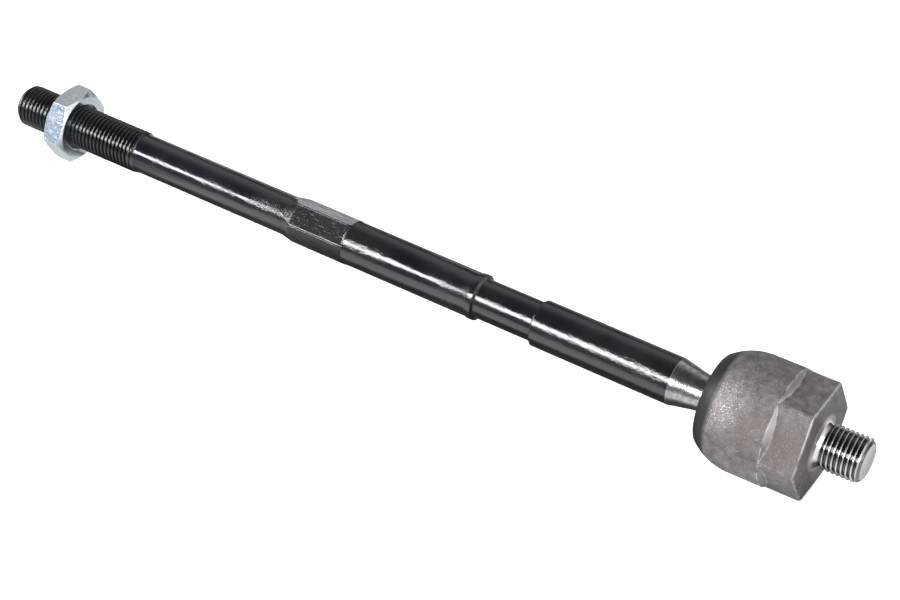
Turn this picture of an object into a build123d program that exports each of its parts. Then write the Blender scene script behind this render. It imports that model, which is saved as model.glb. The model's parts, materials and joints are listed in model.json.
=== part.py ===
from build123d import *
import os
from math import asin, atan2, cos, degrees, hypot, radians, sin, sqrt

os.makedirs("parts", exist_ok=True)

# Inner tie rod, in millimetres. +X runs along the part towards the stud that screws into the
# steering rack, and +Z is up. The origin is on the plane that the part lies on, under the
# middle of its length. The part lies on its housing and on its lock nut, so the rod rises a
# little towards the ball, and the ball joint holds the housing a little steeper than the rod.

# M14 x 1.5 thread of the rod and of the stud, drawn as rings of its section, not as a helix
thread_pitch = 1.5
thread_depth = 0.92
thread_crest_width = 0.19
thread_root_width = 0.25

# Rod, along its own axis: lengths in order from the outer end to the ball's centre
thread_radius = 7.0
thread_length = 48.3
thread_end_chamfer = 1.4
thread_runout = 0.9
slim_shank_radius = 6.45
slim_shank_length = 59.0
wrench_flats = 13.0
wrench_corner_radius = 7.35
wrench_length = 23.8
wrench_turn = 39.0
wrench_ramp = 4.2
wrench_shoulder = 0.9
main_shank_radius = 7.15
main_shank_length = 44.6
collar_radius = 7.4
collar_length = 3.0
boot_groove_radius = 6.35
boot_groove_length = 19.6
thick_shank_radius = 7.4
thick_shank_length = 46.7
edge_chamfer = 0.6
neck_radius = 5.5
neck_taper_length = 7.2
neck_blend_length = 3.6
neck_blend_rise = 0.4
neck_to_ball = 24.5
neck_fillet = 1.0

# Ball joint, measured from the ball's centre
ball_radius = 11.5
ball_pole_flat = 0.5
running_gap = 0.08
race_wall = 2.4
race_front = 6.6
race_straight = 7.6
race_bottom_wall = 2.0
race_bottom_radius = 7.4
race_grease_hole_radius = 3.0
race_slots = 4
race_slot_width = 1.4
race_slot_end = 3.0

# Ball housing, measured from the ball's centre
housing_radius = 18.25
mouth_distance = 12.1
mouth_edge_round = 1.6
opening_radius = 10.0
opening_flare = 1.3
hexagon_flats = 32.0
hexagon_start = 10.9
hexagon_length = 11.1
hexagon_shoulder = 1.5
hexagon_edge_chamfer = 0.4

# How far the housing's axis rises towards the stud, in degrees
housing_lean = 2.3

# Stud on the housing's end face
stud_radius = 7.0
stud_length = 14.6
stud_relief_radius = 6.2
stud_relief_length = 2.2
stud_lead = 0.8
stud_flare_radius = 9.4
stud_flare_length = 0.8
stud_flare_knee = 7.3
stud_end_chamfer = 1.5

# Lock nut on the rod's thread
nut_flats = 22.0
nut_thickness = 7.5
nut_place = 16.1
nut_face_share = 0.95
nut_chamfer_angle = 30.0
nut_countersink = 0.9


def turned(outline, rounds=()):
    """Turn an outline of (x, radius) points about X. Each round is (x, radius, fillet)."""
    face = make_face(Polyline(*outline, close=True))
    for x, radius, size in rounds:
        face = fillet(face.vertices().sort_by_distance((x, radius, 0))[0], size)
    return revolve(face, Axis.X)


def hexagon_bar(flats, start, length, turn=0.0):
    """A hexagonal bar along X with flats facing up and down, turned about X by turn degrees."""
    section = Plane.YZ * Rot(0, 0, turn) * RegularPolygon(flats / 2, 6, major_radius=False)
    return Pos(start, 0, 0) * extrude(section, length, dir=(1, 0, 0))


def thread_rings(start, end, radius):
    """Outline points of the thread's grooves between two stations, with a crest midway."""
    middle = (start + end) / 2
    half_count = int((end - start - thread_crest_width) / 2 / thread_pitch)
    half_top = (thread_pitch - thread_crest_width) / 2
    half_root = thread_root_width / 2
    points = []
    for k in range(-half_count, half_count):
        groove = middle + (k + 0.5) * thread_pitch
        points += [
            (groove - half_top, radius),
            (groove - half_root, radius - thread_depth),
            (groove + half_root, radius - thread_depth),
            (groove + half_top, radius),
        ]
    return points


def ball_depth(radius, at_radius):
    """How far from a sphere's centre its surface has the given radius about the axis."""
    return sqrt(radius**2 - at_radius**2)


# Stations along the rod, with the ball's centre at 0 and the outer end at minus X
neck_start = -neck_to_ball
thick_start = neck_start - thick_shank_length
groove_start = thick_start - boot_groove_length
collar_start = groove_start - collar_length
wrench_end = collar_start - main_shank_length
wrench_start = wrench_end - wrench_length
thread_end = wrench_start - slim_shank_length
rod_end = thread_end - thread_length

# Stations of the housing, and the radii that fit round the ball
housing_face = hexagon_start + hexagon_length
stud_end = housing_face + stud_length
race_bore_radius = ball_radius + running_gap
race_radius = race_bore_radius + race_wall
race_bottom = race_bore_radius + race_bottom_wall
cavity_radius = race_radius + running_gap
cavity_bottom = race_bottom + running_gap

# The lock nut's outer edge rests on the plane, so that edge sets how far the rod leans
nut_start = rod_end + nut_place
nut_face_radius = nut_face_share * nut_flats / 2
nut_slope = sin(radians(nut_chamfer_angle)) / cos(radians(nut_chamfer_angle))
nut_flat_inset = (nut_flats / 2 - nut_face_radius) * nut_slope
nut_edge_distance = -nut_start - nut_flat_inset
edge_reach = hypot(nut_edge_distance, nut_flats / 2)
edge_angle = atan2(nut_flats / 2, nut_edge_distance)
rod_lean = degrees(asin(housing_radius / edge_reach) - edge_angle)


def make_tie_rod():
    """The forged rod: thread, shanks, wrench hexagon, boot groove, neck and ball in one piece."""
    blend_end = neck_start + neck_taper_length + neck_blend_length
    blend_start = neck_start + neck_taper_length
    outline = [
        (rod_end, 0),
        (rod_end, thread_radius - thread_end_chamfer),
        (rod_end + thread_end_chamfer, thread_radius),
        *thread_rings(rod_end + thread_end_chamfer, thread_end, thread_radius),
        (thread_end, thread_radius),
        (thread_end + thread_runout, slim_shank_radius),
        (wrench_start, slim_shank_radius),
        (wrench_start + wrench_ramp, wrench_corner_radius),
        (wrench_end, wrench_corner_radius),
        (wrench_end + wrench_shoulder / 2, main_shank_radius),
        (collar_start, main_shank_radius),
        (collar_start + edge_chamfer, collar_radius),
        (groove_start - edge_chamfer, collar_radius),
        (groove_start, boot_groove_radius),
        (thick_start, boot_groove_radius),
        (thick_start + edge_chamfer, thick_shank_radius),
        (neck_start, thick_shank_radius),
        (blend_start, neck_radius + neck_blend_rise),
        (blend_end, neck_radius),
        (0, neck_radius),
        (0, 0),
    ]
    rounds = [
        (rod_end, thread_radius - thread_end_chamfer, thread_end_chamfer / 2),
        (neck_start, thick_shank_radius, 2 * edge_chamfer),
    ]
    bar = turned(outline, rounds)

    # The wrench hexagon is pressed into the bar, with a shoulder at its inner end
    flats = hexagon_bar(wrench_flats, wrench_start, wrench_length, wrench_turn)
    ramp = turned(
        [
            (wrench_end - wrench_shoulder, 0),
            (wrench_end - wrench_shoulder, wrench_flats / 2),
            (wrench_end, wrench_corner_radius),
            (wrench_end, 0),
        ]
    )
    ring = turned(
        [
            (wrench_start, 0),
            (wrench_start, 2 * wrench_corner_radius),
            (wrench_end, 2 * wrench_corner_radius),
            (wrench_end, 0),
        ]
    )
    bar = bar - (ring - flats - ramp)

    # The ball has a small flat at its far pole, and a fillet where it meets the neck
    pole = ball_radius - ball_pole_flat
    ball = Sphere(ball_radius) - Pos(pole + ball_radius, 0, 0) * Box(
        2 * ball_radius, 2 * ball_radius, 2 * ball_radius
    )
    rod = bar + ball
    joint_at = -ball_depth(ball_radius, neck_radius)
    joint = rod.edges().filter_by(GeomType.CIRCLE).sort_by_distance((joint_at, 0, neck_radius))
    return fillet(joint[0], neck_fillet)


def make_ball_race():
    """The plastic cup round the ball, with slots that let its rim spring over the ball."""
    rim_outer = ball_depth(race_radius, race_front)
    rim_inner = ball_depth(race_bore_radius, race_front)
    hole_depth = ball_depth(race_bore_radius, race_grease_hole_radius)
    half = asin(race_front / race_radius) / 2
    edge = [
        ThreePointArc(
            (-race_front, rim_outer),
            (-race_radius * sin(half), race_radius * cos(half)),
            (0, race_radius),
        ),
        Polyline(
            (0, race_radius),
            (race_straight, race_radius),
            (race_bottom, race_bottom_radius),
            (race_bottom, race_grease_hole_radius),
            (hole_depth, race_grease_hole_radius),
        ),
        ThreePointArc(
            (hole_depth, race_grease_hole_radius),
            (0, race_bore_radius),
            (-race_front, rim_inner),
        ),
        Line((-race_front, rim_inner), (-race_front, rim_outer)),
    ]
    race = revolve(make_face(Curve() + edge), Axis.X)
    slot = Box(race_front + race_slot_end, race_slot_width, 2 * race_radius)
    slot = Pos((race_slot_end - race_front) / 2, 0, race_radius) * slot
    for k in range(race_slots):
        race -= Rot(360 * k / race_slots, 0, 0) * slot
    return race


def make_ball_housing():
    """The forged housing, closed over the race at its mouth, with the wrench hexagon and stud."""
    half = asin(mouth_distance / housing_radius) / 2
    mouth_radius = ball_depth(housing_radius, mouth_distance)
    shell = [
        Line((-mouth_distance, 0), (-mouth_distance, mouth_radius)),
        ThreePointArc(
            (-mouth_distance, mouth_radius),
            (-housing_radius * sin(half), housing_radius * cos(half)),
            (0, housing_radius),
        ),
        Polyline((0, housing_radius), (housing_face, housing_radius), (housing_face, 0)),
        Line((housing_face, 0), (-mouth_distance, 0)),
    ]
    blank = revolve(make_face(Curve() + shell), Axis.X)

    # The flats end on a conical shoulder, so that each one runs out in a crescent
    bar = hexagon_bar(hexagon_flats, hexagon_start, hexagon_length)
    shoulder = turned(
        [
            (hexagon_start, 0),
            (hexagon_start, housing_radius),
            (hexagon_start + hexagon_shoulder, hexagon_flats / 2),
            (hexagon_start + hexagon_shoulder, 0),
        ]
    )
    ring = turned(
        [
            (hexagon_start, 0),
            (hexagon_start, 2 * housing_radius),
            (housing_face, 2 * housing_radius),
            (housing_face, 0),
        ]
    )
    body = blank - (ring - bar - shoulder)
    body = chamfer(body.faces().sort_by(Axis.X)[-1].edges(), hexagon_edge_chamfer)
    mouth = body.faces().sort_by(Axis.X)[0].edges()
    body = fillet(mouth, mouth_edge_round)

    # Inside, the cavity follows the race and opens to the mouth through the flare
    opening_at = ball_depth(cavity_radius, opening_radius)
    flare_run = mouth_distance - opening_at
    half = asin(opening_at / cavity_radius) / 2
    hollow = [
        Polyline(
            (-mouth_distance - flare_run, 0),
            (-mouth_distance - flare_run, opening_radius + 2 * opening_flare),
            (-opening_at, opening_radius),
        ),
        ThreePointArc(
            (-opening_at, opening_radius),
            (-cavity_radius * sin(half), cavity_radius * cos(half)),
            (0, cavity_radius),
        ),
        Polyline(
            (0, cavity_radius),
            (race_straight, cavity_radius),
            (cavity_bottom, race_bottom_radius),
            (cavity_bottom, 0),
            (-mouth_distance - flare_run, 0),
        ),
    ]
    body = body - revolve(make_face(Curve() + hollow), Axis.X)

    # The stud stands on the hexagon's face, with a flare and a relief before its thread
    stud_thread_start = housing_face + stud_relief_length + stud_lead
    stud_thread_end = stud_end - stud_end_chamfer
    stud = turned(
        [
            (housing_face - stud_relief_length, 0),
            (housing_face - stud_relief_length, stud_flare_radius),
            (housing_face, stud_flare_radius),
            (housing_face + stud_flare_length, stud_flare_knee),
            (housing_face + stud_relief_length, stud_relief_radius),
            (stud_thread_start, stud_radius),
            *thread_rings(stud_thread_start, stud_thread_end, stud_radius),
            (stud_thread_end, stud_radius),
            (stud_end, stud_radius - stud_end_chamfer),
            (stud_end, 0),
        ],
        [
            (housing_face + stud_flare_length, stud_flare_knee, 2 * stud_flare_length),
            (stud_end, stud_radius - stud_end_chamfer, stud_end_chamfer / 3),
        ],
    )
    return body + stud


def make_lock_nut():
    """The thin hexagonal nut, chamfered on both faces and countersunk at both ends."""
    nut_end = nut_start + nut_thickness
    corner = nut_flats / sqrt(3)
    corner_inset = (corner - nut_face_radius) * nut_slope
    chamfers = turned(
        [
            (nut_start, 0),
            (nut_start, nut_face_radius),
            (nut_start + corner_inset, corner),
            (nut_end - corner_inset, corner),
            (nut_end, nut_face_radius),
            (nut_end, 0),
        ]
    )
    bore_radius = thread_radius + running_gap
    bore = turned(
        [
            (nut_start, 0),
            (nut_start, bore_radius + nut_countersink),
            (nut_start + nut_countersink, bore_radius),
            (nut_end - nut_countersink, bore_radius),
            (nut_end, bore_radius + nut_countersink),
            (nut_end, 0),
        ]
    )
    return (hexagon_bar(nut_flats, nut_start, nut_thickness) & chamfers) - bore


# Every piece leans about the ball's centre
with_rod = Rot(0, -rod_lean, 0)
with_housing = Rot(0, -housing_lean, 0)
pieces = {
    "tie_rod": with_rod * make_tie_rod(),
    "lock_nut": with_rod * make_lock_nut(),
    "ball_race": with_housing * make_ball_race(),
    "ball_housing": with_housing * make_ball_housing(),
}

# Everything moves so that the origin is on the plane, under the middle of the length
box = Compound(list(pieces.values())).bounding_box()
ball_centre = (-(box.min.X + box.max.X) / 2, 0, housing_radius)
print(f"ball centre at {ball_centre[0]:.3f}, 0, {ball_centre[2]:.3f}, rod leans {rod_lean:.4f} degrees")
for name, piece in pieces.items():
    export_step(Pos(*ball_centre) * piece, f"parts/{name}.step")
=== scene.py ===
import json
from math import floor, hypot, pi, radians

import bpy
from mathutils import Matrix, Vector

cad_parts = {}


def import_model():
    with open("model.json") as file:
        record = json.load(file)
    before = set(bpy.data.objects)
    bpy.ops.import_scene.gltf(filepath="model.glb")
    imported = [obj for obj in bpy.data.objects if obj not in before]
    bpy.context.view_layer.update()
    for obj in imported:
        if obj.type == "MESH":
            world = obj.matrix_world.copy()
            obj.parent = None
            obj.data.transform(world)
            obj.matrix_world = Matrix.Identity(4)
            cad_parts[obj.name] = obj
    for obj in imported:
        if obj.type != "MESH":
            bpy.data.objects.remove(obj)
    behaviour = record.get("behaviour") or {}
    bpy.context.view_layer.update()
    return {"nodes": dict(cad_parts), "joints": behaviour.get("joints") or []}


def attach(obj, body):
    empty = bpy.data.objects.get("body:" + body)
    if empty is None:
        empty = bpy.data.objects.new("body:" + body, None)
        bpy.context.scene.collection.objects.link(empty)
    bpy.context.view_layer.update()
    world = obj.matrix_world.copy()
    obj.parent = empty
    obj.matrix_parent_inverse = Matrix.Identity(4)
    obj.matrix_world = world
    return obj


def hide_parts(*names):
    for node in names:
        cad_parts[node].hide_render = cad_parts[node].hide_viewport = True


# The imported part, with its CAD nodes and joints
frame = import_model()
bpy.ops.object.select_all(action="DESELECT")

MM = 0.001
MERGE_DISTANCE = 1e-7
X_AXIS = Vector((1, 0, 0))
WHITE = (1, 1, 1, 1)

# The ball's centre, and the two axes that meet there
joints = {joint["name"]: joint for joint in frame["joints"]}
ball = Vector(joints["rod_swing"]["pos_m"])
rod_axis = Vector(joints["nut_travel"]["axis"]).normalized()
housing_axis = Vector(joints["race_spin"]["axis"]).normalized()

# Stations along the rod's axis, in millimetres from the ball's centre
ROD_END = -269.5
NUT_START = -253.4
NUT_END = -245.9
ROD_THREAD_END = -221.2
SHANK_START = -220.3
WRENCH_START = -162.2
WRENCH_END = -138.4
PAINT_EDGE = -24.5

# Stations along the housing's axis, in millimetres from the ball's centre
LIP_END = -7.7
HOUSING_FACE = 22.0
RELIEF_END = 24.2
STUD_THREAD_START = 25.0
STUD_END = 36.6

# Radii: the slim shank, where its thread's groove runs out, the relief and the bar under a thread
SHANK_RADIUS = 6.45
RUN_OUT_RADIUS = 6.5
RELIEF_RADIUS = 6.2
BLANK_RADIUS = 6.99

# The chamfered tips of rod and stud: length, and the bevel and radius of the end face
ROD_TIP_LENGTH = 2.1
ROD_TIP_BEVEL = 0.3
ROD_TIP_BEVEL_RADIUS = 5.55
ROD_TIP_RADIUS = 5.1
STUD_TIP_LENGTH = 1.5
STUD_TIP_BEVEL = 0.25
STUD_TIP_BEVEL_RADIUS = 5.8
STUD_TIP_RADIUS = 5.3

# The bush that fills the nut's bore before it is tapped: its radii, and its ends inside the nut
BUSH_RADIUS = 7.18
BUSH_END_RADIUS = 6.33
BUSH_BEVEL = 0.8
BUSH_END = 1.65

# The M14 thread: its pitch, and its section up to the crest as (share of the pitch, radius)
PITCH = 1.5
ROOT = 6.09
CREST = 6.97
RISING_FLANK = [
    (0.0, ROOT),
    (0.07, ROOT + 0.01),
    (0.14, ROOT + 0.07),
    (0.39, CREST - 0.06),
    (0.44, CREST - 0.01),
    (0.5, CREST),
]
FALLING_FLANK = [(1 - share, radius) for share, radius in reversed(RISING_FLANK[:-1])]
TAP_CLEARANCE = 0.06

# How a thread is wound: steps to a turn, and what is wound past each end and cut off again
TURN_STEPS = 56
SPARE_TURNS = 2
SPARE_LENGTH = 1


def use(piece):
    """Selects one piece alone and makes it active."""
    bpy.ops.object.select_all(action="DESELECT")
    piece.select_set(True)
    bpy.context.view_layer.objects.active = piece


def edit_all(piece):
    """Opens a piece for editing with all of it selected."""
    use(piece)
    bpy.ops.object.mode_set(mode="EDIT")
    bpy.ops.mesh.select_all(action="SELECT")


def close_skin():
    """Joins the corners of the open piece that coincide, and turns its faces outwards."""
    bpy.ops.mesh.select_all(action="SELECT")
    bpy.ops.mesh.remove_doubles(threshold=MERGE_DISTANCE)
    bpy.ops.mesh.normals_make_consistent(inside=False)
    bpy.ops.object.mode_set(mode="OBJECT")


def copy_node(node, name):
    """A new piece with a CAD node's shape, its loose triangles joined into one skin."""
    piece = bpy.data.objects.new(name, frame["nodes"][node].data.copy())
    piece.data.name = name
    piece.data.materials.clear()
    bpy.context.scene.collection.objects.link(piece)
    use(piece)
    bpy.ops.mesh.customdata_custom_splitnormals_clear()
    edit_all(piece)
    bpy.ops.mesh.remove_doubles(threshold=MERGE_DISTANCE)
    bpy.ops.object.mode_set(mode="OBJECT")
    return piece


def draw_outline(name, points):
    """An open outline beside the X axis, extruded through points of (station, radius) in mm."""
    first = (points[0][0] * MM, 0, points[0][1] * MM)
    bpy.ops.mesh.primitive_plane_add(size=MM, location=first)
    piece = bpy.context.object
    piece.name = name
    bpy.ops.object.transform_apply(location=True)
    edit_all(piece)
    bpy.ops.mesh.merge(type="CENTER")
    for (x0, r0), (x1, r1) in zip(points, points[1:]):
        step = ((x1 - x0) * MM, 0, (r1 - r0) * MM)
        bpy.ops.mesh.extrude_region_move(TRANSFORM_OT_translate={"value": step})
    bpy.ops.object.mode_set(mode="OBJECT")
    return piece


def turn(name, points, steps=96):
    """A closed solid, turned about the X axis from an outline that starts and ends on it."""
    piece = draw_outline(name, points)
    edit_all(piece)
    bpy.ops.mesh.spin(steps=steps, angle=2 * pi, center=(0, 0, 0), axis=X_AXIS)
    close_skin()
    return piece


def cut_off(piece, place, direction):
    """Cuts off what lies beyond a plane, on the side that its direction points to."""
    edit_all(piece)
    bpy.ops.mesh.bisect(
        plane_co=place,
        plane_no=direction,
        use_fill=True,
        clear_outer=True,
        threshold=MERGE_DISTANCE,
    )
    bpy.ops.object.mode_set(mode="OBJECT")


def combine(piece, other, operation):
    """Unites two closed pieces, cuts one from the other, or keeps what they share."""
    change = piece.modifiers.new("Combine", "BOOLEAN")
    change.operation = operation
    change.solver = "MANIFOLD"
    change.object = other
    use(piece)
    bpy.ops.object.modifier_apply(modifier=change.name)
    bpy.data.objects.remove(other)


def wind_thread(name, start, end, wider=0.0):
    """A closed right-hand M14 thread round X, from start to end, with flat ends."""
    first = PITCH * (floor(start / PITCH) - SPARE_TURNS)
    section = RISING_FLANK + FALLING_FLANK
    points = [(first + PITCH * share, radius + wider) for share, radius in section]
    piece = draw_outline(name, points)
    winding = piece.modifiers.new("Winding", "SCREW")
    winding.axis = "X"
    winding.angle = 2 * pi
    winding.screw_offset = PITCH * MM
    winding.iterations = int((end - start) / PITCH) + 2 * SPARE_TURNS + 1
    winding.steps = TURN_STEPS
    winding.render_steps = TURN_STEPS
    winding.use_merge_vertices = True
    winding.merge_threshold = MERGE_DISTANCE
    use(piece)
    bpy.ops.object.modifier_apply(modifier=winding.name)
    edit_all(piece)
    close_skin()
    cut_off(piece, (start * MM, 0, 0), -X_AXIS)
    cut_off(piece, (end * MM, 0, 0), X_AXIS)
    return piece


def fade_thread(piece, start, end, radius):
    """Lifts the thread's roots between two stations, so that the groove runs out."""
    for corner in piece.data.vertices:
        share = (corner.co.x / MM - start) / (end - start)
        least = (ROOT + (radius - ROOT) * min(max(share, 0.0), 1.0)) * MM
        reach = hypot(corner.co.y, corner.co.z)
        on_skin = reach > 0.5 * ROOT * MM
        if share > 0 and on_skin and reach < least:
            corner.co.y *= least / reach
            corner.co.z *= least / reach


def lean_over(piece, axis):
    """Puts a piece that was made round the X axis on a leaning axis through the ball's centre."""
    piece.matrix_world = Matrix.Translation(ball) @ Matrix.Rotation(-axis.angle(X_AXIS), 4, "Y")
    use(piece)
    bpy.ops.object.transform_apply(location=True, rotation=True)


def smooth(piece, angle=28):
    """Shades a piece smooth, apart from its edges sharper than an angle."""
    use(piece)
    bpy.ops.object.shade_smooth_by_angle(angle=radians(angle))


# The tie rod, with its outer thread wound in place of the CAD's thread of rings
tie_rod = copy_node("tie_rod", "threaded_tie_rod")
cut_off(tie_rod, ball + rod_axis * SHANK_START * MM, -rod_axis)
outer_thread = wind_thread("outer_thread", ROD_END - SPARE_LENGTH, SHANK_START)
fade_thread(outer_thread, ROD_THREAD_END - PITCH, SHANK_START, RUN_OUT_RADIUS)
end_shape = turn(
    "end_shape",
    [
        (ROD_END, 0),
        (ROD_END, ROD_TIP_RADIUS),
        (ROD_END + ROD_TIP_BEVEL, ROD_TIP_BEVEL_RADIUS),
        (ROD_END + ROD_TIP_LENGTH, BLANK_RADIUS),
        (ROD_THREAD_END, BLANK_RADIUS),
        (SHANK_START, SHANK_RADIUS),
        (SHANK_START, 0),
    ],
)
combine(outer_thread, end_shape, "INTERSECT")
lean_over(outer_thread, rod_axis)
combine(tie_rod, outer_thread, "UNION")
smooth(tie_rod)

# The lock nut, with a thread in its bore that runs in the rod's
lock_nut = copy_node("lock_nut", "threaded_lock_nut")
bush = turn(
    "nut_bush",
    [
        (NUT_START + BUSH_END, 0),
        (NUT_START + BUSH_END, BUSH_END_RADIUS),
        (NUT_START + BUSH_BEVEL, BUSH_RADIUS),
        (NUT_END - BUSH_BEVEL, BUSH_RADIUS),
        (NUT_END - BUSH_END, BUSH_END_RADIUS),
        (NUT_END - BUSH_END, 0),
    ],
)
tap = wind_thread("tap", NUT_START - SPARE_LENGTH, NUT_END + SPARE_LENGTH, wider=TAP_CLEARANCE)
lean_over(bush, rod_axis)
lean_over(tap, rod_axis)
combine(lock_nut, bush, "UNION")
combine(lock_nut, tap, "DIFFERENCE")
smooth(lock_nut)

# The ball housing, with the stud's thread wound in place of the CAD's thread of rings
housing = copy_node("ball_housing", "threaded_ball_housing")
cut_off(housing, ball + housing_axis * RELIEF_END * MM, housing_axis)
stud_thread = wind_thread("stud_thread", RELIEF_END, STUD_END + SPARE_LENGTH)
stud_shape = turn(
    "stud_shape",
    [
        (RELIEF_END, 0),
        (RELIEF_END, RELIEF_RADIUS),
        (STUD_THREAD_START, BLANK_RADIUS),
        (STUD_END - STUD_TIP_LENGTH, BLANK_RADIUS),
        (STUD_END - STUD_TIP_BEVEL, STUD_TIP_BEVEL_RADIUS),
        (STUD_END, STUD_TIP_RADIUS),
        (STUD_END, 0),
    ],
)
combine(stud_thread, stud_shape, "INTERSECT")
lean_over(stud_thread, housing_axis)
combine(housing, stud_thread, "UNION")
smooth(housing)

for piece, node, body, slot in [
    (tie_rod, "tie_rod", "rod", "rod_black"),
    (lock_nut, "lock_nut", "nut", "nut_zinc"),
    (housing, "ball_housing", "housing", "housing_steel"),
]:
    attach(piece, body)
    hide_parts(node)


def set_values(tree, made, values):
    """Fills a shader node's sockets, by name or number, with values or other nodes' outputs."""
    for socket, value in values.items():
        if hasattr(value, "is_output"):
            tree.links.new(value, made.inputs[socket])
        else:
            made.inputs[socket].default_value = value


def add_node(tree, kind, values=None, **settings):
    """A shader node, with its sockets' values and its settings."""
    made = tree.nodes.new("ShaderNode" + kind)
    for name, value in settings.items():
        setattr(made, name, value)
    set_values(tree, made, values or {})
    return made


def combine_values(tree, operation, first, second=0.0):
    """The result of one sum on two values."""
    return add_node(tree, "Math", {0: first, 1: second}, operation=operation).outputs[0]


def multiply(tree, first, second):
    """The product of two values, which is what two masks share."""
    return combine_values(tree, "MULTIPLY", first, second)


def greater(tree, first, second):
    """The greater of two values, which joins two masks."""
    return combine_values(tree, "MAXIMUM", first, second)


def invert(tree, mask):
    """The rest of a mask."""
    return combine_values(tree, "SUBTRACT", 1.0, mask)


def step_up(tree, value, low, high):
    """A mask that goes from 0 to 1 as a value goes from low to high."""
    return add_node(tree, "MapRange", {"Value": value, 1: low, 2: high, 3: 0.0, 4: 1.0}).outputs[0]


def past(tree, length, limit, fade):
    """A mask for what lies past a limit, where it fades in, both in millimetres."""
    return step_up(tree, length, limit * MM, (limit + fade) * MM)


def before(tree, length, limit, fade):
    """A mask for what lies before a limit, where it fades in, both in millimetres."""
    return step_up(tree, length, limit * MM, (limit - fade) * MM)


def blend_values(tree, mask, low, high):
    """A value between two others, by a mask."""
    return add_node(tree, "Mix", {0: mask, 2: low, 3: high}).outputs[0]


def blend_colours(tree, mask, low, high):
    """A colour between two others, by a mask."""
    mixed = add_node(tree, "Mix", {0: mask}, data_type="RGBA")
    for socket, colour in ((6, low), (7, high)):
        full = colour if hasattr(colour, "is_output") else (*colour, 1)
        set_values(tree, mixed, {socket: full})
    return mixed.outputs[2]


def split(tree, vector):
    """The X, Y and Z values of a vector."""
    return add_node(tree, "SeparateXYZ", {0: vector}).outputs


def combine_vectors(tree, operation, first, second):
    """The VectorMath node's results for one sum on two vectors."""
    return add_node(tree, "VectorMath", {0: first, 1: second}, operation=operation).outputs


def noise(tree, place, scale, detail, distortion=0.0):
    """A cloudy pattern, whose values lie between 0 and 1 and mostly near 0.5."""
    values = {"Vector": place, "Scale": scale, "Detail": detail, "Distortion": distortion}
    return add_node(tree, "TexNoise", values).outputs[0]


# The part of a noise pattern's range where most of its values lie
MIDDLE = (0.35, 0.65)


def new_group(name, inputs, outputs):
    """An empty shader node group, with a vector, named values and named results."""
    group = bpy.data.node_groups.new(name, "ShaderNodeTree")
    face = group.interface
    face.new_socket("Vector", in_out="INPUT", socket_type="NodeSocketVector")
    for label, value in inputs.items():
        socket = face.new_socket(label, in_out="INPUT", socket_type="NodeSocketFloat")
        socket.default_value = value
    for label in outputs:
        face.new_socket(label, in_out="OUTPUT", socket_type="NodeSocketFloat")
    given = group.nodes.new("NodeGroupInput").outputs
    results = group.nodes.new("NodeGroupOutput").inputs
    return group, given, results


def make_edge_wear_and_glint():
    """A mask along outer edges: for edges that handling and plating leave brighter, and for a
    highlight painted along an edge.
    """
    like_a_face = 0.985
    like_an_edge = 0.9

    sockets = {"Radius": 0.0004, "Break Up": 0.4}
    group, given, results = new_group("edge_wear_and_glint", sockets, ["Mask"])
    rounded = add_node(group, "Bevel", {"Radius": given["Radius"]}, samples=6).outputs[0]
    flat = add_node(group, "NewGeometry").outputs["Normal"]
    likeness = combine_vectors(group, "DOT_PRODUCT", rounded, flat)["Value"]
    edge = step_up(group, likeness, like_a_face, like_an_edge)
    patches = step_up(group, noise(group, given["Vector"], scale=420.0, detail=3.0), 0.35, 0.6)
    broken = blend_values(group, given["Break Up"], 1.0, patches)
    group.links.new(multiply(group, edge, broken), results["Mask"])
    return group


def make_speckle():
    """Fine bright grains, as blasting and phosphate leave on a forging."""
    grain_edge = 0.12

    sockets = {"Scale": 1500.0, "Share": 0.4}
    group, given, results = new_group("speckle", sockets, ["Grains", "Height"])
    grain = noise(group, given["Vector"], given["Scale"], detail=2.0)
    limit = invert(group, given["Share"])
    top = combine_values(group, "ADD", limit, grain_edge)
    group.links.new(step_up(group, grain, limit, top), results["Grains"])
    group.links.new(grain, results["Height"])
    return group


def make_streaks():
    """Long streaks along X or fine rings across it, by how far the pattern is stretched."""
    sockets = {"Along": 30.0, "Across": 900.0}
    group, given, results = new_group("streaks", sockets, ["Value"])
    across = given["Across"]
    stretch = add_node(group, "CombineXYZ", {0: given["Along"], 1: across, 2: across}).outputs[0]
    place = combine_vectors(group, "MULTIPLY", given["Vector"], stretch)[0]
    group.links.new(noise(group, place, scale=1.0, detail=4.0), results["Value"])
    return group


edge_wear_and_glint = make_edge_wear_and_glint()
speckle = make_speckle()
streaks = make_streaks()


def use_group(tree, group, values):
    """Places a shared effect in a material, with the material's own values."""
    made = tree.nodes.new("ShaderNodeGroup")
    made.node_tree = group
    set_values(tree, made, values)
    return made.outputs


def start_material(name, axis):
    """A material with its shader, and coordinates in metres along an axis from the ball's centre."""
    material = bpy.data.materials.new(name)
    material.use_nodes = True
    tree = material.node_tree
    place = add_node(tree, "TexCoord").outputs["Object"]
    turned = add_node(tree, "Mapping", {"Vector": place}, vector_type="TEXTURE")
    turned.inputs["Location"].default_value = ball
    turned.inputs["Rotation"].default_value = (0, -axis.angle(X_AXIS), 0)
    return material, tree, tree.nodes["Principled BSDF"], turned.outputs[0]


def face_direction(tree):
    """The X, Y and Z values of the surface's own normal."""
    return split(tree, add_node(tree, "TexCoord").outputs["Normal"])


def shape_surface(tree, shader, height, radius, strength, depth):
    """Raises a surface by a pattern's height, and rounds its edges by a radius, for light alone."""
    rounded = add_node(tree, "Bevel", {"Radius": radius * MM}, samples=4).outputs[0]
    values = {"Strength": strength, "Distance": depth * MM, "Height": height, "Normal": rounded}
    tree.links.new(add_node(tree, "Bump", values).outputs[0], shader.inputs["Normal"])


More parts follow.
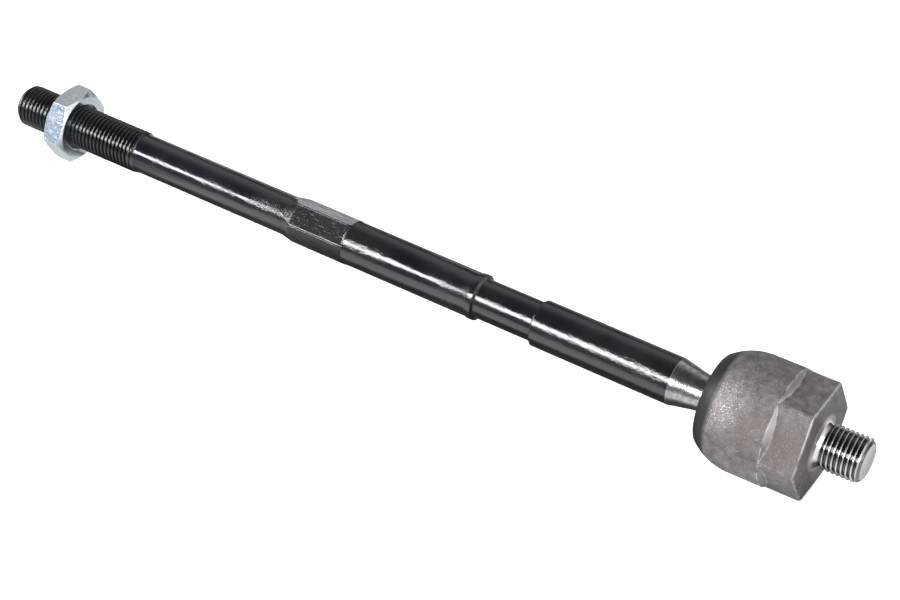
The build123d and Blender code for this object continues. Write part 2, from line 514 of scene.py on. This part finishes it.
def paint_rod():
    """Gloss black coat over drawn bar, with the neck and ball left as bare turned steel."""
    dull_steel = (0.33, 0.325, 0.32)
    bright_steel = (0.56, 0.55, 0.54)
    deep_black = (0.004, 0.004, 0.006)
    soft_black = (0.008, 0.008, 0.01)
    mark_grey = (0.075, 0.075, 0.082)
    top_sheen_dark = (0.055, 0.055, 0.065)
    top_sheen_pale = (0.22, 0.22, 0.24)
    ridge_highlight_grey = (0.85, 0.85, 0.88)
    coat_roughness = (0.09, 0.17)
    pressed_roughness = 0.22
    steel_roughness = 0.22
    coat_relief = (0.2, 0.55)
    rough_flat_relief = 0.25
    steel_relief = 0.12
    pits_in_wave = 0.42
    cone_length = 2.5
    ridge_width = 1.2

    # The Y of the normal on the wrench hexagon's front flat, and from where it is the top flat's
    front_flat_y = -0.63
    top_flat_y = (0.2, 0.34)

    material, tree, shader, place = start_material("black_coated_rod", rod_axis)
    station = split(tree, place)[0]
    facing = face_direction(tree)[1]

    # The bare neck, and the wrench hexagon with its rough front flat and its top flat, which is given
    # a painted sheen
    bare = past(tree, station, PAINT_EDGE, fade=0.15)
    wrench_begun = past(tree, station, WRENCH_START, fade=1)
    wrench_left = before(tree, station, WRENCH_END, fade=1)
    pressed = multiply(tree, wrench_begun, wrench_left)
    off_flat = combine_values(tree, "ABSOLUTE", combine_values(tree, "ADD", facing, -front_flat_y))
    coarse_flat = multiply(tree, pressed, step_up(tree, off_flat, 0.2, 0.1))
    past_cone = past(tree, station, WRENCH_START + cone_length, fade=1.5)
    coarse_flat = multiply(tree, coarse_flat, past_cone)
    top_flat = multiply(tree, pressed, step_up(tree, facing, *top_flat_y))

    # The patterns
    lumps = use_group(tree, streaks, {"Vector": place, "Along": 420.0, "Across": 1000.0})["Value"]
    pits = noise(tree, place, scale=1900.0, detail=4.0)
    cloud = noise(tree, place, scale=70.0, detail=3.0)
    mottle = noise(tree, place, scale=520.0, detail=5.0)
    scratches = use_group(tree, streaks, {"Vector": place, "Along": 260.0, "Across": 2300.0})["Value"]

    # The colours
    steel = blend_colours(tree, step_up(tree, mottle, *MIDDLE), dull_steel, bright_steel)
    coat = blend_colours(tree, step_up(tree, cloud, 0.4, 0.7), deep_black, soft_black)
    pit_marks = step_up(tree, pits, 0.63, 0.68)
    scratch_marks = step_up(tree, scratches, 0.62, 0.66)
    marked = greater(tree, pit_marks, scratch_marks)
    coat = blend_colours(tree, multiply(tree, coarse_flat, marked), coat, mark_grey)
    # Painted sheen: the hexagon's top flat, which faces up and back, is painted pale grey with streaks
    # in it
    pale_surface = blend_colours(tree, step_up(tree, scratches, *MIDDLE), top_sheen_dark, top_sheen_pale)
    coat = blend_colours(tree, top_flat, coat, pale_surface)
    # Painted highlight: a near-white line along the wrench hexagon's ridges, drawn with the edge mask
    wear_and_glint = use_group(tree, edge_wear_and_glint, {"Vector": place, "Radius": 0.0006, "Break Up": 0.3})["Mask"]
    ridge_highlight = multiply(tree, wear_and_glint, before(tree, station, WRENCH_END - ridge_width, fade=0.8))
    coat = blend_colours(tree, multiply(tree, pressed, ridge_highlight), coat, ridge_highlight_grey)
    tree.links.new(blend_colours(tree, bare, coat, steel), shader.inputs["Base Color"])
    tree.links.new(bare, shader.inputs["Metallic"])

    # The gloss
    gloss = blend_values(tree, step_up(tree, cloud, *MIDDLE), *coat_roughness)
    gloss = blend_values(tree, pressed, gloss, pressed_roughness)
    tree.links.new(blend_values(tree, bare, gloss, steel_roughness), shader.inputs["Roughness"])
    shader.inputs["Specular IOR Level"].default_value = 1.0

    # The surface: a slow wave with fine pits under the coat, and pits alone on flats and steel
    wave = blend_values(tree, pits_in_wave, lumps, pits)
    height = blend_values(tree, bare, blend_values(tree, coarse_flat, wave, pits), pits)
    strength = blend_values(tree, step_up(tree, cloud, 0.42, 0.62), *coat_relief)
    strength = blend_values(tree, coarse_flat, strength, rough_flat_relief)
    strength = blend_values(tree, bare, strength, steel_relief)
    shape_surface(tree, shader, height, radius=0.3, strength=strength, depth=0.3)
    return material


def plate_nut():
    """Bright bluish zinc, with fine scratches on the flats and brighter edges."""
    dull_zinc = (0.7, 0.76, 0.78)
    bright_zinc = (0.82, 0.88, 0.9)
    scratch_blue = (0.46, 0.54, 0.64)
    edge_zinc = (0.86, 0.9, 0.93)
    roughness = (0.13, 0.23)
    scratch_cover = 0.5

    material, tree, shader, place = start_material("zinc_lock_nut", rod_axis)
    cloud = noise(tree, place, scale=260.0, detail=4.0)
    marks = noise(tree, place, scale=1050.0, detail=6.0, distortion=1.5)
    scratched = step_up(tree, marks, 0.4, 0.65)
    wear_and_glint = use_group(tree, edge_wear_and_glint, {"Vector": place, "Radius": 0.0005, "Break Up": 0.3})["Mask"]
    zinc = blend_colours(tree, step_up(tree, cloud, *MIDDLE), dull_zinc, bright_zinc)
    zinc = blend_colours(tree, multiply(tree, scratched, scratch_cover), zinc, scratch_blue)
    tree.links.new(blend_colours(tree, wear_and_glint, zinc, edge_zinc), shader.inputs["Base Color"])
    shader.inputs["Metallic"].default_value = 1.0
    tree.links.new(blend_values(tree, scratched, *roughness), shader.inputs["Roughness"])
    shape_surface(tree, shader, marks, radius=0.3, strength=0.12, depth=0.2)
    return material


def finish_housing():
    """Grey blasted forging, with brown tints, edges brightened by wear and a bright stud, and painted
    light: a dark rolled lip as painted reflection, painted highlights on the dome's front and
    shoulders, painted shade in the stud's grooves.
    """
    dark_grey = (0.078, 0.071, 0.07)
    mid_grey = (0.178, 0.163, 0.161)
    brown_tint = (0.118, 0.097, 0.091)
    grain_grey = (0.43, 0.405, 0.39)
    patch_highlight_grey = (0.72, 0.69, 0.67)
    shoulder_highlight_grey = (0.62, 0.61, 0.6)
    edge_grey = (0.7, 0.69, 0.67)
    lip_reflection_black = (0.022, 0.021, 0.022)
    cut_steel = (0.66, 0.65, 0.64)
    groove_shade_dark = (0.14, 0.14, 0.14)
    end_steel = (0.5, 0.5, 0.52)
    forging_roughness = (0.43, 0.3)
    lip_roughness = 0.45
    shoulder_roughness = 0.34
    stud_roughness = (0.15, 0.4)
    grain_cover = 0.45
    patch_highlight_cover = 0.6
    highlight_and_wear_cover = 0.85

    # The middle of the bright patch on the dome's front, a painted highlight, in metres from the
    # ball's centre
    patch_highlight_place = (-0.0065, -0.0123, 0.0116)

    material, tree, shader, place = start_material("forged_housing", housing_axis)
    station, side, height = split(tree, place)
    facing = face_direction(tree)[0]

    # The rolled lip, and the stud with its grooves and its end
    lip = before(tree, station, LIP_END + 1, fade=1.5)
    beyond = past(tree, station, HOUSING_FACE - 0.2, fade=0.1)
    off_axis = add_node(tree, "CombineXYZ", {1: side, 2: height}).outputs[0]
    reach = add_node(tree, "VectorMath", {0: off_axis}, operation="LENGTH").outputs["Value"]
    stud = multiply(tree, beyond, before(tree, reach, 9.3, fade=2.2))
    stud_end = past(tree, station, STUD_END - 0.2, fade=0.1)
    groove = multiply(tree, stud, before(tree, reach, 6.7, fade=0.4))

    # The hexagon's shoulders, with a painted highlight that is strongest in a band of middle heights
    inner = invert(tree, beyond)
    shoulder = multiply(tree, step_up(tree, facing, 0.35, 0.6), inner)
    above = past(tree, height, 5, fade=6)
    below = before(tree, height, 17, fade=2)
    highlight_band = blend_values(tree, multiply(tree, above, below), 0.25, 1.0)
    shoulder = multiply(tree, shoulder, highlight_band)

    # The patterns, and a bright patch on the front, which is a painted highlight, brightest where
    # grains fall
    grains = use_group(tree, speckle, {"Vector": place, "Scale": 3000.0, "Share": 0.42})
    coarse = noise(tree, place, scale=420.0, detail=6.0)
    cloud = noise(tree, place, scale=75.0, detail=2.0)
    wear_and_glint = use_group(tree, edge_wear_and_glint, {"Vector": place, "Radius": 0.0007, "Break Up": 1.0})["Mask"]
    distance = combine_vectors(tree, "DISTANCE", place, patch_highlight_place)["Value"]
    past_lip = past(tree, station, LIP_END + 0.5, fade=1.5)
    patch_highlight = multiply(tree, before(tree, distance, 11, fade=9), past_lip)
    patch_highlight = multiply(tree, patch_highlight, blend_values(tree, grains["Grains"], 0.2, 2.6))

    # The colours
    grey = blend_colours(tree, step_up(tree, coarse, 0.3, 0.7), dark_grey, mid_grey)
    grey = blend_colours(tree, step_up(tree, cloud, 0.5, 0.68), grey, brown_tint)
    grey = blend_colours(tree, multiply(tree, grains["Grains"], grain_cover), grey, grain_grey)
    # Painted highlight: the dome's front patch, pale grey
    grey = blend_colours(tree, multiply(tree, patch_highlight, patch_highlight_cover), grey, patch_highlight_grey)
    # Painted highlights on the shoulders, then edges brightened by wear
    grey = blend_colours(tree, multiply(tree, shoulder, highlight_and_wear_cover), grey, shoulder_highlight_grey)
    grey = blend_colours(tree, multiply(tree, wear_and_glint, highlight_and_wear_cover), grey, edge_grey)
    # Painted reflection: the rolled lip is painted near black
    grey = blend_colours(tree, lip, grey, lip_reflection_black)
    # The stud's steel, with painted shade in its thread's grooves
    cut = blend_colours(tree, groove, cut_steel, groove_shade_dark)
    cut = blend_colours(tree, stud_end, cut, end_steel)
    tree.links.new(blend_colours(tree, stud, grey, cut), shader.inputs["Base Color"])

    # The bare metal, under a forging that is half metal throughout
    metal = multiply(tree, stud, blend_values(tree, stud_end, 1.0, 0.45))
    metal = greater(tree, metal, multiply(tree, shoulder, 0.85))
    metal = greater(tree, metal, multiply(tree, patch_highlight, 0.8))
    tree.links.new(blend_values(tree, metal, 0.5, 1.0), shader.inputs["Metallic"])

    # The gloss
    matt = blend_values(tree, grains["Grains"], *forging_roughness)
    matt = blend_values(tree, lip, matt, lip_roughness)
    matt = blend_values(tree, shoulder, matt, shoulder_roughness)
    cut_finish = blend_values(tree, stud_end, *stud_roughness)
    tree.links.new(blend_values(tree, stud, matt, cut_finish), shader.inputs["Roughness"])

    # The surface: grains on the forging, none on the lip and beyond the hexagon's face
    grainy = multiply(tree, invert(tree, lip), inner)
    rise = multiply(tree, grains["Height"], grainy)
    shape_surface(tree, shader, rise, radius=0.4, strength=1.0, depth=0.3)
    return material


def mould_race():
    """Greased off-white plastic."""
    deep_tone = (0.7, 0.67, 0.58)
    pale_tone = (0.84, 0.82, 0.75)
    roughness = (0.25, 0.5)

    material, tree, shader, place = start_material("greased_race", housing_axis)
    cloud = noise(tree, place, scale=200.0, detail=2.0)
    tone = blend_colours(tree, step_up(tree, cloud, *MIDDLE), deep_tone, pale_tone)
    tree.links.new(tone, shader.inputs["Base Color"])
    tree.links.new(blend_values(tree, cloud, *roughness), shader.inputs["Roughness"])
    return material


def put_on(piece, material):
    """Gives a piece one material, and its only one."""
    piece.data.materials.clear()
    piece.data.materials.append(material)


put_on(tie_rod, paint_rod())
put_on(lock_nut, plate_nut())
put_on(housing, finish_housing())
frame["nodes"]["ball_race"].material_slots[0].material = mould_race()


def map_floor_gloss(tree, along, across):
    """How bright the part's gloss sees the floor, by place: a painted reflection, with painted shadow
    under the part, white round it.
    """
    shadow_under_part = 0.1
    front_shade = 0.2
    open_table = 1.25
    shadow_behind_part = 0.38
    round_nut = 0.72
    widening = 10

    # How far a place is from the painted shadow strip under the part, which is wider towards the
    # housing
    wider = multiply(tree, past(tree, along, -120, fade=190), before(tree, along, 120, fade=30))
    aside = greater(tree, multiply(tree, across, -1.0), multiply(tree, across, 2.0))
    aside = combine_values(tree, "SUBTRACT", aside, multiply(tree, wider, widening * MM))

    # The floor clear of that strip: at its sides, past its ends and close round the nut
    from_middle = combine_values(tree, "ABSOLUTE", along)
    past_ends = past(tree, from_middle, 150, fade=12)
    clear = greater(tree, past(tree, aside, 8, fade=8), past_ends)
    by_nut = multiply(tree, past(tree, aside, 0, fade=3), before(tree, along, -120, fade=8))
    clear = greater(tree, clear, by_nut)

    # The table round the part: painted shade far in front of it, painted shadow behind it, and an even
    # level round the nut
    near = greater(tree, past(tree, across, -140, fade=80), past(tree, along, 160, fade=40))
    behind = multiply(tree, past(tree, across, 0, fade=10), before(tree, along, 200, fade=40))
    outer_end = before(tree, along, -100, fade=10)
    white = blend_values(tree, outer_end, open_table, round_nut)
    shade = blend_values(tree, outer_end, shadow_behind_part, round_nut)
    table = blend_values(tree, near, front_shade, white)
    table = blend_values(tree, behind, table, shade)
    return blend_values(tree, clear, shadow_under_part, table)


def lay_floor():
    """A pale floor that keeps the shadow, which the part's gloss sees as a glow of its own with
    painted shadows.
    """
    bpy.ops.mesh.primitive_plane_add(size=6, location=(0, 0, 0))
    pale_surface = bpy.context.object
    pale_surface.name = "floor"
    material = bpy.data.materials.new("pale_floor")
    material.use_nodes = True
    tree = material.node_tree
    shader = tree.nodes["Principled BSDF"]
    shader.inputs["Base Color"].default_value = (0.8, 0.8, 0.8, 1)
    shader.inputs["Roughness"].default_value = 0.9
    shader.inputs["Specular IOR Level"].default_value = 0.0
    along, across, _ = split(tree, add_node(tree, "TexCoord").outputs["Object"])
    mirrored = map_floor_gloss(tree, along, across)

    # Half the camera's white comes from a glow, and the rest from the light that the shadow dims
    rays = add_node(tree, "LightPath").outputs
    seen = greater(tree, rays["Is Camera Ray"], rays["Is Transmission Ray"])
    glow = add_node(tree, "Emission", {"Color": WHITE, "Strength": multiply(tree, seen, 0.5)})
    lit = add_node(tree, "AddShader", {0: shader.outputs[0], 1: glow.outputs[0]})
    # For gloss the floor is a glow: a painted reflection with painted shadows in it
    in_gloss = add_node(tree, "Emission", {"Color": WHITE, "Strength": mirrored})
    surfaces = {0: rays["Is Glossy Ray"], 1: lit.outputs[0], 2: in_gloss.outputs[0]}
    total = add_node(tree, "MixShader", surfaces)
    tree.links.new(total.outputs[0], tree.nodes["Material Output"].inputs["Surface"])
    put_on(pale_surface, material)


def light_world():
    """Soft light from above and behind, a white backdrop, and for gloss a dark room with windows."""
    room_dark = (0.045, 0.047, 0.058)
    back_window = (0.5, 0.5, 0.5)
    side_window = (1.1, 1.1, 1.1)
    front_window = (0.2, 0.25, 0.36)
    backdrop_white = (1, 1, 1)
    front_direction = (-0.45, -0.87, 0.2)
    sky_direction = (0, 0.5, 0.87)
    soft_light = (0.12, 1.75)

    world = bpy.data.worlds.new("studio")
    bpy.context.scene.world = world
    world.use_nodes = True
    tree = world.node_tree
    rays = add_node(tree, "LightPath").outputs
    way = add_node(tree, "TexCoord").outputs["Generated"]
    right, away, up = split(tree, way)

    # The room that gloss sees, with a window behind, one at the right and one in front
    height = multiply(tree, step_up(tree, up, 0.2, 0.5), step_up(tree, up, 0.95, 0.7))
    back = multiply(tree, height, step_up(tree, away, -0.1, 0.4))
    room = blend_colours(tree, back, room_dark, back_window)
    room = blend_colours(tree, step_up(tree, right, 0.6, 0.85), room, side_window)
    towards_front = combine_vectors(tree, "DOT_PRODUCT", way, front_direction)["Value"]
    room = blend_colours(tree, step_up(tree, towards_front, 0.8, 0.96), room, front_window)
    colour = blend_colours(tree, rays["Is Glossy Ray"], backdrop_white, room)

    # The strength: 1 for the camera, gloss and glass, and for soft light by its direction
    direct = greater(tree, rays["Is Camera Ray"], rays["Is Glossy Ray"])
    direct = greater(tree, direct, rays["Is Transmission Ray"])
    towards_sky = combine_vectors(tree, "DOT_PRODUCT", way, sky_direction)["Value"]
    soft = blend_values(tree, step_up(tree, towards_sky, -0.2, 0.85), *soft_light)
    strength = blend_values(tree, direct, soft, 1.0)
    backdrop = tree.nodes["Background"]
    tree.links.new(colour, backdrop.inputs["Color"])
    tree.links.new(strength, backdrop.inputs["Strength"])


def hang_lamp(name, place, aim, width, height, power):
    """A rectangular soft box, its width level, aimed at a point."""
    lamp = bpy.data.lights.new(name, "AREA")
    lamp.shape = "RECTANGLE"
    lamp.size = width
    lamp.size_y = height
    lamp.energy = power
    holder = bpy.data.objects.new(name, lamp)
    bpy.context.scene.collection.objects.link(holder)
    holder.location = place
    holder.rotation_euler = (Vector(aim) - Vector(place)).to_track_quat("-Z", "Y").to_euler()


def hang_lamps():
    """Two strips in front for the rod's long highlight, a low lamp at the left and a weak fill."""
    tall_strip_x = -0.185
    slim_strip_x = -0.785
    strip_y = -0.9
    aim_height = 0.015

    hang_lamp(
        "tall_strip",
        place=(tall_strip_x, strip_y, 0.55),
        aim=(tall_strip_x, 0, aim_height),
        width=0.67,
        height=0.34,
        power=10.7,
    )
    hang_lamp(
        "slim_strip",
        place=(slim_strip_x, strip_y, 0.52),
        aim=(slim_strip_x, 0, aim_height),
        width=0.49,
        height=0.2,
        power=5.5,
    )
    hang_lamp(
        "left_lamp",
        place=(-1.0, -0.3, 0.42),
        aim=(0.11, 0, 0.02),
        width=0.3,
        height=0.3,
        power=8,
    )
    hang_lamp(
        "fill_lamp",
        place=(0.85, -0.3, 0.35),
        aim=(0.05, 0, aim_height),
        width=0.6,
        height=0.6,
        power=3,
    )


def stand_camera():
    """The photograph's view: from the stud's side, 40 degrees above, rolled a little."""
    place = (0.28141, -0.4731, 0.4677)
    direction = Vector((-0.376, 0.6654, -0.6448))
    roll = 4.63

    lens = bpy.data.cameras.new("camera")
    lens.lens = 92.8
    lens.sensor_width = 36
    camera = bpy.data.objects.new("camera", lens)
    bpy.context.scene.collection.objects.link(camera)
    camera.location = place
    aimed = direction.to_track_quat("-Z", "Y").to_matrix().to_4x4()
    camera.rotation_euler = (aimed @ Matrix.Rotation(radians(roll), 4, "Z")).to_euler()
    bpy.context.scene.camera = camera


lay_floor()
light_world()
hang_lamps()
stand_camera()
bpy.context.scene.view_settings.view_transform = "Standard"
